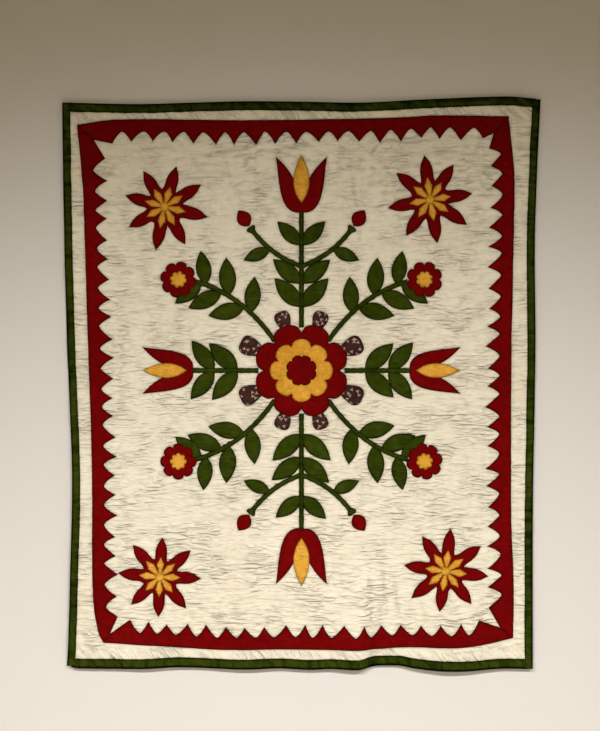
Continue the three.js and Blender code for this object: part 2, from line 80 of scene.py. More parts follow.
TOP_EDGE = (
    (-500, -2), (-346, -5), (-235, -2), (-116, 1), (0, 0), (128, -2), (260, 5), (430, 11),
    (482, 7), (500, 5),
)
FOOT_EDGE = (
    (-490, -1179), (-469, -1184), (-333, -1185), (-256, -1182), (-124, -1186), (-47, -1184),
    (18, -1187), (62, -1185), (120, -1186), (153, -1180), (206, -1179), (229, -1183),
    (264, -1187), (300, -1189), (346, -1189), (411, -1185), (483, -1185),
)
LEFT_EDGE = (
    (-1179, -490), (-1134, -487), (-917, -481), (-791, -479), (-666, -483), (-498, -491),
    (-164, -498), (-2, -500),
)
RIGHT_EDGE = (
    (-1185, 483), (-833, 484), (-666, 487), (-498, 489), (-310, 488), (-164, 492), (5, 500),
)

# The red border's outer edge, in the same way.

BORDER_TOP = (
    (-469, -49), (-388, -38), (-116, -39), (128, -36), (218, -33), (275, -29), (433, -31),
)
BORDER_FOOT = (
    (-413, -1130), (-331, -1135), (-187, -1144), (0, -1144), (133, -1145), (212, -1140),
    (321, -1140), (392, -1132), (442, -1121),
)
BORDER_LEFT = (
    (-1130, -413), (-1109, -424), (-1025, -435), (-736, -438), (-498, -447), (-197, -456),
    (-49, -469),
)
BORDER_RIGHT = (
    (-1121, 442), (-990, 443), (-880, 439), (-665, 438), (-498, 439), (-266, 444), (-149, 445),
    (-31, 433),
)

# Folds that grow towards the foot. Columns: across, left half, right half, proud, from.

HANGING_FOLDS = (
    (-462, 60, 55, 4, -420), (-335, 60, 60, 5, -760), (-120, 75, 80, 6, -820),
    (22, 50, 48, 4, -900), (116, 52, 24, 12, -900), (322, 82, 78, 10, -840),
    (470, 34, 50, 3, -520),
)
FOLD_END = -1185
CRINKLE_HEIGHT = 1.9

# Broad swells. Columns: size, length across, length down, shift.

SWELLS = ((2.2, 610, 830, 0.6), (1.3, 283, 371, 2.1), (0.8, 171, 157, 4.4))

# Creases, listed one by one. Columns: from across, height, to across, height, half width, depth.

CREASES = (
    (141, -985, 146, -1122, 4.5, 2.0), (150, -1120, 150, -1190, 12, 2.0), (154, -105, 197, -168, 5, 1.8),
    (106, -150, 124, -305, 5, 1.4), (-204, -975, -138, -1046, 5, 1.7), (-186, -955, -120, -1020, 5, 1.2),
    (168, -975, 178, -1062, 5, 1.4), (192, -985, 204, -1076, 5, 1.3), (-300, -620, -240, -700, 6, 1.2),
    (300, -560, 352, -640, 6, 1.2), (-60, -1050, -30, -1112, 5, 1.3), (236, -1010, 262, -1090, 6, 1.3),
    (40, -110, 10, -190, 5, 1.0), (-372, -480, -330, -560, 6, 1.0), (330, -330, 372, -420, 6, 1.0),
    (-233, -1045, -185, -1075, 4.5, 1.6), (-187, -1076, -110, -1066, 4.5, 1.6),
    (-383, -125, -321, -121, 4, 1.8), (-359, -104, -278, -94, 4, 2.0), (-182, -109, -139, -97, 4, 1.8),
    (-215, -130, -129, -125, 4, 2.0), (-177, -142, -115, -122, 4, 1.6), (-330, -140, -262, -132, 4, 1.4),
    (-378, -360, -352, -357, 4, 1.8), (372, -640, 418, -652, 4, 1.6), (380, -742, 424, -736, 4, 1.8),
)

# Small quilted rounds in the open ground. Columns: across, height, radius.

QUILTED_ROUNDS = (
    (-118, -207, 27), (-300, -360, 23), (-352, -480, 24), (352, -360, 24), (362, -690, 26),
    (-356, -800, 25), (150, -205, 22), (-150, -930, 24), (150, -930, 22), (352, -850, 22),
    (-180, -110, 18), (-352, -640, 22),
)

# Corner flowers. Columns: name, across, height, radius, turn of the first petal.

CORNER_FLOWERS = (
    ("top_left", -286, -220, 87, 31), ("top_right", 269, -205, 88, 9),
    ("foot_left", -296, -993, 84, -3), ("foot_right", 301, -981, 86, -9),
)

# Straight sprigs of the medallion. Columns: name, turn, stem's end, tulip's size.

STRAIGHT_SPRIGS = (
    ("upper", 90, 330, 116), ("right", 0, 226, 106), ("lower", 270, 330, 116), ("left", 180, 226, 106),
)
LEAF_PAIRS = ((133, 82, 46), (182, 78, 50), (262, 70, 48))  # distance, length, angle to the stem
CURVED_SPRIGS = (
    ("upper_right", 1, 1), ("upper_left", -1, 1), ("lower_left", -1, -1), ("lower_right", 1, -1),
)
CURVED_STEM = ((56, 62), (124, 160), (222, 186))
CURVED_LEAVES = (  # place along the stem, length, angle to it
    (0.34, 76, 50), (0.42, 78, -50), (0.62, 80, 54), (0.70, 78, -52), (0.88, 72, 62), (0.93, 70, -58),
)
PRINTED_PETALS = (  # turn, length
    (25, 56), (70, 46), (110, 46), (155, 56), (205, 56), (250, 46), (290, 46), (335, 56),
)
ROSE_ROUNDS = (  # name, radius, depth of the lobes, turn, layer
    ("rose_outer", ROSE_RADIUS, 0.2, 0, 0.7), ("rose_middle", 66, 0.2, 22.5, 1.6),
    ("rose_centre", 33, 0.15, 0, 2.5),
)
BRANCH = ((0, 218), (66, 240), (108, 300))
BUD_LENGTH = 40
STEM_LAYER = 0.4


# The cloth's form

def smooth_step(low, high, value):
    share = np.clip((value - low) / (high - low), 0, 1)
    return share * share * (3 - 2 * share)


def mix(start, end, share):
    return start + (end - start) * share


def bell(away, half):
    """One at no distance, falling off smoothly about a half width."""
    return np.exp(-(away / half) ** 2)


def laid(at, edge, lying):
    """Rows of across and height for an edge that lies level or stands upright."""
    return np.stack([at, edge] if lying else [edge, at], 1)


def uneven(number, size):
    """A small fixed departure for each numbered tooth, petal or leaf."""
    return size * math.sin(number * 12.9898 + math.cos(number * 4.1) * 3)


def edge_at(table, at):
    """A smooth curve through the rows of an edge table."""
    places, edges = np.array(table, float).T
    last = len(places) - 1
    after = np.minimum(np.arange(last + 1) + 1, last)
    before = np.maximum(np.arange(last + 1) - 1, 0)
    slopes = (edges[after] - edges[before]) / (places[after] - places[before])
    row = np.clip(np.searchsorted(places, at, side="right") - 1, 0, last - 1)
    length = places[row + 1] - places[row]
    share = np.clip((at - places[row]) / length, 0, 1)
    square, cube = share ** 2, share ** 3
    return (
        (2 * cube - 3 * square + 1) * edges[row] + (cube - 2 * square + share) * slopes[row] * length
        + (3 * square - 2 * cube) * edges[row + 1] + (cube - square) * slopes[row + 1] * length
    )


def sides_at(down_share):
    """Where the left and the right edge run at a share of the way down them."""
    return [edge_at(table, mix(table[-1][0], table[0][0], down_share)) for table in (LEFT_EDGE, RIGHT_EDGE)]


def ends_at(across_share):
    """Where the top and the foot run at a share of the way across them."""
    return [edge_at(table, mix(table[0][0], table[-1][0], across_share)) for table in (TOP_EDGE, FOOT_EDGE)]


def hanging_place(across_share, down_share):
    """Where a place in the flat cloth hangs, seen from the front."""
    return mix(*sides_at(down_share), across_share), mix(*ends_at(across_share), down_share)


def forward_at(across, height):
    """How far the middle of the cloth stands forward of its top edge."""
    forward = np.zeros_like(across)
    for fold_across, left_half, right_half, proud, start in HANGING_FOLDS:
        half = np.where(across < fold_across, left_half, right_half)
        growth = smooth_step(start, FOLD_END, height)
        forward += proud * growth * bell(across - fold_across, half)
    loose = mix(0.35, 1.0, smooth_step(0, -300, height))
    for size, length_across, length_down, shift in SWELLS:
        wave = np.sin(across * 2 * math.pi / length_across + shift)
        forward += size * loose * wave * np.cos(height * 2 * math.pi / length_down + shift)
    return forward


def soft_noise(across, height, cell_across, cell_height, seed):
    """Smooth noise from -1 to 1 with cells of a given width and height; it repeats far out."""
    draws = np.random.default_rng(seed)
    columns = int(1400 / cell_across) + 4
    rows = int(1600 / cell_height) + 4
    lattice = draws.uniform(-1, 1, (columns, rows))
    along = (across + 700) / cell_across
    down = (height + 1400) / cell_height
    column = np.floor(along).astype(int)
    row = np.floor(down).astype(int)
    along_share = smooth_step(0, 1, along - column)
    down_share = smooth_step(0, 1, down - row)
    left, right = column % columns, (column + 1) % columns
    under, over = row % rows, (row + 1) % rows
    low = mix(lattice[left, under], lattice[right, under], along_share)
    high = mix(lattice[left, over], lattice[right, over], along_share)
    return mix(low, high, down_share)


def fine_valleys(across, height, cell_across, cell_height, seed, thinness=0.3):
    """Thin broken valleys that run along the longer side of the noise's cells."""
    course = soft_noise(across, height, cell_across, cell_height, seed)
    broken = soft_noise(across, height, cell_across * 0.7, cell_height * 3, seed + 50)
    return -bell(course, thinness) * smooth_step(-0.35, 0.45, broken)


SLANT_BY_ENDS = 1.1

# Crinkles in the field. Columns: kind, share, share of the lean, cell's width and height, seed.

LEVEL_CRINKLES = (
    (soft_noise, 0.55, 1.0, 34, 6.5, 11), (fine_valleys, 1.0, 1.0, 38, 8.5, 12),
    (fine_valleys, 0.7, 0.6, 22, 6.5, 13), (soft_noise, 0.8, 0.5, 70, 24, 14),
)


def by_ends_at(across, height):
    """One beside the top and the foot, where the crinkles run upright, and none in the field."""
    from_top = edge_at(TOP_EDGE, across) - height
    from_foot = height - edge_at(FOOT_EDGE, across)
    return 1 - smooth_step(26, 60, np.minimum(from_top, from_foot))


def crinkle_at(across, height):
    """The washed cloth's short crinkles: level ones in the field, upright ones by the ends."""
    from_side = np.minimum(across - edge_at(LEFT_EDGE, height), edge_at(RIGHT_EDGE, height) - across)
    by_sides = 1 - smooth_step(90, 190, from_side)
    by_top = smooth_step(-230, -120, height)
    lean = 16 * np.sin(height / 90.0 + across / 260) + 10 * np.sin(across / 66.0 + height / 150)
    level = sum(
        share * kind(across, height + leaning * lean, wide, high, seed)
        for kind, share, leaning, wide, high, seed in LEVEL_CRINKLES
    )
    rising = fine_valleys(0.85 * across + 0.53 * height, 0.85 * height - 0.53 * across, 44, 9, 19)
    falling = fine_valleys(0.8 * across - 0.6 * height, 0.8 * height + 0.6 * across, 44, 9, 20)
    slanting = 1.2 * mix(rising, falling, smooth_step(-0.2, 0.2, soft_noise(across, height, 150, 120, 21)))
    slanted = smooth_step(0, 0.5, soft_noise(across, height, 110, 80, 22))
    level = mix(level, 0.5 * level + slanting, slanted * (1 - 0.6 * by_sides))
    aslant = across + SLANT_BY_ENDS * height
    upright = 0.7 * soft_noise(aslant, height, 9, 26, 15) + 1.1 * fine_valleys(aslant, height, 13, 46, 16)
    strength = 0.75 + 0.4 * soft_noise(across, height, 130, 80, 17)
    strength = strength + 0.3 * soft_noise(across, height, 50, 34, 18)
    strength = strength * (1 + np.maximum(0.8 * by_sides, 1.2 * by_top))
    crinkle = mix(np.clip(level, -1.4, 1.1), 0.8 * upright, by_ends_at(across, height))
    return CRINKLE_HEIGHT * strength * crinkle


BESIDE_CREASE = 0.45  # the ridge on both sides of a crease, as a share of its depth
ROUND_GROOVE = 0.75
ROUND_GROOVE_HALF = 2.6
ROUND_PUFF = 0.8


def crease_at(across, height):
    """Listed creases, and the grooves and puffs of the quilted rounds."""
    depth = np.zeros_like(across)
    for x0, z0, x1, z1, half, deep in CREASES:
        run = (x1 - x0) ** 2 + (z1 - z0) ** 2
        share = ((across - x0) * (x1 - x0) + (height - z0) * (z1 - z0)) / run
        nearest = np.clip(share, 0, 1)
        away = np.hypot(across - x0 - nearest * (x1 - x0), height - z0 - nearest * (z1 - z0))
        ends = smooth_step(-0.15, 0.25, share) * smooth_step(1.15, 0.75, share)
        depth -= deep * ends * (bell(away, half) - BESIDE_CREASE * bell(away - 2 * half, half))
    for x0, z0, radius in QUILTED_ROUNDS:
        away = np.hypot(across - x0, height - z0)
        for ring in (1.0, 0.55):
            depth -= ROUND_GROOVE * bell(away - radius * ring, ROUND_GROOVE_HALF)
        depth += ROUND_PUFF * smooth_step(radius * 1.3, radius * 0.6, away)
    return depth


# Outlines of the patches, seen from the front

def towards(turn):
    """The direction of an angle in degrees."""
    return np.array((math.cos(math.radians(turn)), math.sin(math.radians(turn))))


def placed(points, across, up, turn):
    """Points drawn about their own base, turned and moved to a place in the medallion."""
    cosine, sine = towards(turn)
    x, y = np.array(points, float).T
    return np.stack([across + x * cosine - y * sine, MEDALLION_HEIGHT + up + x * sine + y * cosine], 1)


def bezier(points, steps):
    """Points along a curve of two, three or four control points, without its last one."""
    share = np.linspace(0, 1, steps, endpoint=False)[:, None]
    points = [np.array(point, float)[None, :] for point in points]
    while len(points) > 1:
        points = [mix(a, b, share) for a, b in zip(points, points[1:])]
    return points[0] * np.ones_like(share)


def leaf_outline(length, width):
    belly = ((0.25 * length, 0.62 * width), (0.62 * length, 0.66 * width))
    upper = bezier(((0, 0), *belly, (length, 0)), 14)
    lower = bezier(((length, 0), *((x, -y) for x, y in reversed(belly)), (0, 0)), 14)
    return np.concatenate([upper, lower])


def drop_outline(length, width):
    back = ((0.5 * length, -0.55 * width), (1.05 * length, -0.75 * width))
    lower = bezier(((0, -0.12 * width), *back, (length, 0)), 14)
    upper = bezier(((length, 0), *((x, -y) for x, y in reversed(back)), (0, 0.12 * width)), 14)
    return np.concatenate([lower, upper, [(0, 0.12 * width)]])


def tulip_outline(size):
    s = size
    side = [
        bezier(((0, -0.1 * s), (0.05 * s, -0.42 * s), (0.62 * s, -0.4 * s), (s, -0.46 * s)), 18),
        bezier(((s, -0.46 * s), (0.78 * s, -0.2 * s), (0.52 * s, -0.1 * s)), 10),
    ]
    lower = np.concatenate([*side, [(0.52 * s, -0.1 * s)]])
    return np.concatenate([lower, lower[::-1] * (1, -1)])


def scallop_outline(radius, lobes, depth, steps=10):
    angle = np.arange(lobes * steps) * 2 * math.pi / (lobes * steps)
    reach = radius * (1 - depth + depth * np.sqrt(np.abs(np.sin(angle * lobes / 2))))
    return np.stack([np.cos(angle) * reach, np.sin(angle) * reach], 1)


def stem_outline(control, steps):
    """A stem of nearly even width along a curve."""
    line = np.concatenate([bezier(control, steps), [control[-1]]])
    along = np.gradient(line, axis=0)
    along /= np.linalg.norm(along, axis=1)[:, None]
    side = np.stack([-along[:, 1], along[:, 0]], 1)
    half = STEM_WIDTH / 2 * (1 + 0.08 * np.sin(np.arange(len(line)) * 1.9))[:, None]
    return np.concatenate([line - side * half, (line + side * half)[::-1]])


def rayed_outline(flower, size, stops, seed):
    """Eight rays; a stop is a share of the half angle between two rays and of the reach."""
    _, across, height, radius, turn = flower
    points = []
    for ray in range(8):
        axis = turn + ray * 45 + uneven(ray + seed, 2.4)
        reach = radius * size * (1 + uneven(ray * 2 + seed, 0.04))
        points += [(across, height) + towards(axis + side * 22.5) * reach * out for side, out in stops]
    return np.array(points)


def tooth_outline(table, inward, lying, first, last, count, corners, lean, seed):
    """A border strip: its outer edge, then sharp teeth with round notches on the way back."""
    def place(at, depth):
        return laid(at, edge_at(table, np.array(at, float)) + inward * np.array(depth, float), lying)
    outer = np.linspace(table[0][0], table[-1][0], 90)
    points = [place(outer, 0 * outer), [corners[1]]]
    pitch = (last - first) / (count - 1)
    tips = [first + tooth * pitch + uneven(tooth + seed, 3) for tooth in range(count)]
    roots = [mix(tips[0], tips[1], -0.5), *(
        mix(low, high, 0.5 + lean + uneven(tooth * 5 + seed, 0.08))
        for tooth, (low, high) in enumerate(zip(tips, tips[1:]))
    ), mix(tips[-1], tips[-2], -0.5)]
    share = np.array((0.1, 0.2, 0.32, 0.46, 0.62, 0.8))
    for tooth in range(count - 1, -1, -1):
        rise = TOOTH_LENGTH + 22 * lean + uneven(tooth * 3 + seed, 3)
        curve = 1.45 + uneven(tooth * 7 + seed, 0.2)
        up_curve = share ** (curve - 2.5 * lean)
        low_curve = share ** (curve + 4 * lean)
        up_flank = place(mix(roots[tooth + 1], tips[tooth], share), BORDER_DEPTH + rise * up_curve)
        tip = place([tips[tooth]], [BORDER_DEPTH + rise])
        low_flank = place(mix(roots[tooth], tips[tooth], share), BORDER_DEPTH + rise * low_curve)
        if tooth < count - 1:
            points.append(up_flank)
        points.append(tip)
        if tooth:
            points += [low_flank[::-1], place([roots[tooth]], [BORDER_DEPTH])]
    points.append([corners[0]])
    return np.concatenate(points)


def resampled(outline, spacing):
    """The outline with extra points on its longer stretches."""
    points = []
    for start, end in zip(outline, np.roll(outline, -1, axis=0)):
        steps = max(1, int(round(np.linalg.norm(end - start) / spacing)))
        points += [mix(start, end, step / steps) for step in range(steps)]
    return np.array(points)


PETAL_SIDE = (
    (-1, 0.44), (-0.8, 0.485), (-0.67, 0.56), (-0.58, 0.66), (-0.45, 0.76), (-0.29, 0.86), (-0.13, 0.94),
)
PETAL_STOPS = (*PETAL_SIDE, (0, 1.02), *((-side, out) for side, out in PETAL_SIDE[:0:-1]))
STAR_SIZE = 0.52
STAR_CENTRE = 0.11
STAR_STOPS = ((-1, 0.24), (-0.72, 0.66), (0, 1), (0.72, 0.66))


def collect_patches():
    """Every patch as (CAD node, outline, layer), in sewing order."""
    patches = []
    corner = {"tl": (-434, -80), "tr": (402, -66), "fl": (-400, -1112), "fr": (415, -1099)}
    strips = (
        ("border_top", BORDER_TOP, -1, True, -396, 377, 19, (corner["tl"], corner["tr"]), 0.0),
        ("border_foot", BORDER_FOOT, 1, True, -360, 373, 19, (corner["fl"], corner["fr"]), 0.0),
        ("border_left", BORDER_LEFT, 1, False, -1073, -122, 24, (corner["fl"], corner["tl"]), 0.03),
        ("border_right", BORDER_RIGHT, -1, False, -1058, -95, 24, (corner["fr"], corner["tr"]), 0.09),
    )
    for number, (name, *strip) in enumerate(strips):
        patches.append((name, tooth_outline(*strip, seed=number * 31), 0))
    for number, flower in enumerate(CORNER_FLOWERS):
        name, across, height, radius, turn = flower
        seed = number * 17
        patches.append(("flower_" + name, rayed_outline(flower, 1, PETAL_STOPS, seed), 0))
        star = rayed_outline(flower, STAR_SIZE, STAR_STOPS, seed)
        centre = np.array((across, height), float)
        for ray in range(8):
            diamond = star[(4 * ray + np.arange(5)) % 32]
            diamond = np.concatenate([[mix(centre, diamond[2], 0.06)], diamond])
            middle = diamond.mean(0)
            patches.append(("star_" + name, middle + (diamond - middle) * 0.97, 1))
        turn_of = np.radians(np.arange(16) * 22.5)
        button = centre + radius * STAR_CENTRE * np.stack([np.cos(turn_of), np.sin(turn_of)], 1)
        patches.append(("star_" + name, button, 1.4))
    patches += medallion_patches()
    return patches


def leaf_patch(node, across, up, turn, length):
    return node, placed(leaf_outline(length, length * LEAF_SLENDERNESS), across, up, turn), 0


def medallion_patches():
    patches = []
    for number, (name, turn, end, tulip) in enumerate(STRAIGHT_SPRIGS):
        node = "sprig_" + name
        out = towards(turn)
        stem = stem_outline((out * (ROSE_RADIUS - 10), out * (end + 2)), 30)
        patches.append((node, placed(stem, 0, 0, 0), STEM_LAYER))
        for index, (distance, length, angle) in enumerate(pair for pair in LEAF_PAIRS if pair[0] < end - 20):
            for sign in (1, -1):
                leaf_turn = turn + sign * (angle + uneven(index + number * 7 + sign, 3))
                across, up = out * distance
                patches.append(leaf_patch(node, across, up, leaf_turn, length))
        if abs(out[1]) > 0.5:
            patches += branch_patches(node, name, round(out[1]))
        patches.append(("tulip_" + name, placed(tulip_outline(tulip), *(out * end), turn), 0))
        heart = leaf_outline(tulip * 0.86, tulip * 0.3)
        patches.append(("tulip_heart_" + name, placed(heart, *(out * end * 1.06), turn), 1))
    for number, (name, side, rise) in enumerate(CURVED_SPRIGS):
        patches += curved_sprig_patches(number, name, side, rise)
    for index, (turn, length) in enumerate(PRINTED_PETALS):
        petal = placed(drop_outline(length, length * 0.72), *((ROSE_RADIUS - 16) * towards(turn)), turn)
        patches.append((f"printed_petal_{index + 1}", petal, 0))
    for name, radius, depth, turn, layer in ROSE_ROUNDS:
        patches.append((name, placed(scallop_outline(radius, 8, depth), 0, 0, turn), layer))
    return patches


def on_curve(control, share):
    """A place on a curve of three control points, and the curve's turn there in degrees."""
    first, second = mix(control[0], control[1], share), mix(control[1], control[2], share)
    across, up = second - first
    return mix(first, second, share), math.degrees(math.atan2(up, across))


def branch_patches(node, name, rise):
    patches = []
    for side, word in ((1, "right"), (-1, "left")):
        control = np.array(BRANCH, float) * (side, rise)
        end, turn = on_curve(control, 1)
        bud = leaf_outline(BUD_LENGTH, BUD_LENGTH * 0.8)
        patches += [
            (node, placed(stem_outline(control, 26), 0, 0, 0), STEM_LAYER * 0.6),
            leaf_patch(node, *on_curve(control, 0.55)[0], turn - side * rise * 78, 60),
            (f"bud_{name}_{word}", placed(bud, *(end + towards(turn) * 2), turn), 0),
            (node, placed(drop_outline(14, 20), *(end - towards(turn) * 14), turn), 1),
        ]
    return patches


def curved_sprig_patches(number, name, side, rise):
    node = "curved_sprig_" + name
    control = np.array(CURVED_STEM, float) * (side, rise)
    patches = [(node, placed(stem_outline(control, 40), 0, 0, 0), STEM_LAYER)]
    for index, (share, length, angle) in enumerate(CURVED_LEAVES):
        point, turn = on_curve(control, share)
        turn += side * rise * (angle + uneven(index + number * 5, 3))
        patches.append(leaf_patch(node, *point, turn, length))
    head = control[2] + (side * (ROSETTE_RADIUS - 3), rise * 4)
    rosette = placed(scallop_outline(ROSETTE_RADIUS, 8, 0.2), *head, 11 * number)
    heart = placed(scallop_outline(ROSETTE_RADIUS * 0.46, 8, 0.2, 6), *head, 11 * number)
    return patches + [("rosette_" + name, rosette, 0.7), ("rosette_heart_" + name, heart, 1.6)]


PATCHES = collect_patches()


# How far a place is from the sewn edges, which pull the cloth down beside them

def tree_of(outlines):
    points = np.concatenate([resampled(outline, 1.6) for outline in outlines])
    tree = kdtree.KDTree(len(points))
    for index, (x, z) in enumerate(points):
        tree.insert((x, 0, z), index)
    tree.balance()
    return tree


def distance_to(tree, across, height):
    return np.array([tree.find((x, 0, z))[2] for x, z in zip(across, height)])


def inside(outline, across, height):
    """Which places lie inside an outline, by counting the sides to their right."""
    found = np.zeros(len(across), bool)
    low, high = outline.min(0), outline.max(0)
    near = np.flatnonzero((across > low[0]) & (across < high[0]) & (height > low[1]) & (height < high[1]))
    x, z = across[near], height[near]
    crossed = np.zeros(len(near), bool)
    for (x0, z0), (x1, z1) in zip(outline, np.roll(outline, -1, axis=0)):
        if z0 != z1:
            meets = (z0 > z) != (z1 > z)
            crossed ^= meets & (x < (x1 - x0) * (z - z0) / (z1 - z0) + x0)
    found[near] = crossed
    return found


def binding_edge(table, outward, lying, width):
    """The line where a binding strip is sewn down, drawn there and back."""
    at = np.linspace(table[0][0], table[-1][0], 500)
    edge = edge_at(table, at) - outward * width
    line = laid(at, edge, lying)
    return np.concatenate([line, line[-2:0:-1]])


BINDINGS = {  # node: edge table, outward, lying, width
    "binding_left": (LEFT_EDGE, -1, False, BINDING_SIDE),
    "binding_right": (RIGHT_EDGE, 1, False, BINDING_SIDE),
    "binding_top": (TOP_EDGE, 1, True, BINDING_TOP),
    "binding_foot": (FOOT_EDGE, -1, True, BINDING_FOOT),
}
SEWN_EDGES = tree_of(
    [outline for _, outline, _ in PATCHES] + [binding_edge(*strip) for strip in BINDINGS.values()]
)
DITCH_DEPTH = 1.0
DITCH_HALF = 2.4
ECHO_PITCH = 8.5


def sewing_relief(away):
    """The ditch along a sewn edge and the echo lines that fade away from it."""
    ditch = -DITCH_DEPTH * bell(away, DITCH_HALF)
    echo = -0.3 * np.cos(2 * math.pi * away / ECHO_PITCH) * np.exp(-away / 15) * smooth_step(2, 6, away)
    puff = 0.7 * (1 - np.exp(-away / 5)) * np.exp(-away / 30)
    return ditch + echo + puff


def band_outline(table, outward, lying, width):
    """The place that a binding strip covers."""
    at = np.linspace(table[0][0], table[-1][0], 200)
    edge = edge_at(table, at)
    rim = np.concatenate([edge + outward * 6, (edge - outward * (width - 0.5))[::-1]])
    return laid(np.concatenate([at, at[::-1]]), rim, lying)


GROUND_COVERS = [outline for _, outline, layer in PATCHES if layer < 0.75]
BINDING_COVERS = [band_outline(*strip) for strip in BINDINGS.values()]
CALM_DEPTH = 9.0
CALM_SHARE = 0.55
DEEPEST = -2.7  # a valley goes on below this by only a small share of its depth
SHARE_BELOW = 0.12


def covered_share(covers, across, height):
    covered = np.zeros(len(across), bool)
    for outline in covers:
        covered |= inside(outline, across, height)
    return covered.astype(float)


def front_at(across, height):
    """The quilt's front surface, forward of the top edge's middle line, calmer under patches."""
    away = distance_to(SEWN_EDGES, across, height)
    covered = covered_share(GROUND_COVERS, across, height)
    calm = 1 - CALM_SHARE * covered * smooth_step(0, CALM_DEPTH, away)
    relief = crinkle_at(across, height) * calm + crease_at(across, height) + sewing_relief(away)
    relief = np.maximum(relief, mix(DEEPEST, relief, SHARE_BELOW))
    return forward_at(across, height) + CLOTH_THICKNESS / 2 + relief


GRID_ACROSS = 180
GRID_DOWN = 468


def laid_cloth():
    """The front surface at the corners of the cloth's faces, on which every piece lies."""
    shares = np.meshgrid(
        np.linspace(0, 1, GRID_ACROSS + 1), np.linspace(0, 1, GRID_DOWN + 1), indexing="ij")
    across, height = hanging_place(shares[0].ravel(), shares[1].ravel())
    return front_at(across, height).reshape(shares[0].shape)


LAID_CLOTH = laid_cloth()
FLATTENING_ROUNDS = 6


def flat_place(across, height):
    """The shares across and down of the flat cloth for a place in the hung one."""
    share_across, share_down = np.full(len(across), 0.5), np.full(len(across), 0.5)
    for _ in range(FLATTENING_ROUNDS):
        left, right = sides_at(share_down)
        share_across = np.clip((across - left) / (right - left), 0, 1)
        top, foot = ends_at(share_across)
        share_down = np.clip((top - height) / (top - foot), 0, 1)
    return share_across, share_down


# Painted shade in small valleys of the front: the colour darkens where the cloth lies below its neighbours.
VALLEY_SHADE_DEPTH = 2.6
VALLEY_SHADE_BEHIND = 0.3
VALLEY_SHADE_GAIN_BY_ENDS = 0.8


def valley_shade_of(field):
    """How deep each corner lies in a small valley, from none to one; it sets the painted shade in valleys."""
    around = np.zeros_like(field)
    for columns in (-2, 0, 2):
        for rows in (-4, -2, 2, 4):
            around += np.roll(np.roll(field, columns, axis=0), rows, axis=1) / 12
    return np.clip((around - field) / VALLEY_SHADE_DEPTH, 0, 1)


VALLEY_SHADE = valley_shade_of(LAID_CLOTH)


def sampled(field, across, height):
    """The value of a field at any place, between the corners of the cloth's faces."""
    share_across, share_down = flat_place(across, height)
    along, down = share_across * GRID_ACROSS, share_down * GRID_DOWN
    column = np.clip(np.floor(along).astype(int), 0, GRID_ACROSS - 1)
    row = np.clip(np.floor(down).astype(int), 0, GRID_DOWN - 1)
    near = mix(field[column, row], field[column + 1, row], along - column)
    far = mix(field[column, row + 1], field[column + 1, row + 1], along - column)
    return mix(near, far, down - row)


def surface_at(across, height):
    return sampled(LAID_CLOTH, across, height)


# Making pieces

def added(name, data):
    """A new object in the scene."""
    thing = bpy.data.objects.new(name, data)
    bpy.context.scene.collection.objects.link(thing)
    return thing


def places_of(bm):
    """The across, backward and height arrays of the vertices."""
    return np.array([vertex.co for vertex in bm.verts]).T


def finished(name, bm, material, clear=None):
    """The piece of a bmesh; for cloth, clear is each vertex's distance from a sewn edge, up to 1, which sets
    the painted shade along seams.
    """
    across, back, height = places_of(bm) / MM
    mesh = bpy.data.meshes.new(name)
    bm.to_mesh(mesh)
    bm.free()
    mesh.materials.append(material)
    if clear is not None:
        # Painted shade: the valley shade, stronger near the top and by the ends and weaker behind, is stored
        # with the seam-shade mask for the materials.
        upright = by_ends_at(across, height)
        side_share = np.where(-back > forward_at(across, height), 1, VALLEY_SHADE_BEHIND)
        gain = 1 + VALLEY_SHADE_GAIN_BY_ENDS * np.maximum(smooth_step(-260, -60, height), upright)
        valley = np.minimum(1, sampled(VALLEY_SHADE, across, height) * side_share * gain)
        for label, values in (("clear_of_seam_shade", clear), ("upright_crinkles", upright), ("in_valley_shade", valley)):
            mesh.attributes.new(label, "FLOAT", "POINT").data.foreach_set("value", values)
        mesh.shade_smooth()
    return added(name, mesh)


def moved(bm, place_of):
    """Moves every vertex by a function of its three arrays to millimetres; the faces turn outwards."""
    for vertex, place in zip(bm.verts, np.stack(place_of(*places_of(bm)), 1) * MM):
        vertex.co = place
    bmesh.ops.recalc_face_normals(bm, faces=bm.faces)


SUNK_UNDER_PATCHES = 2.4
LEAST_FRONT = -1.0


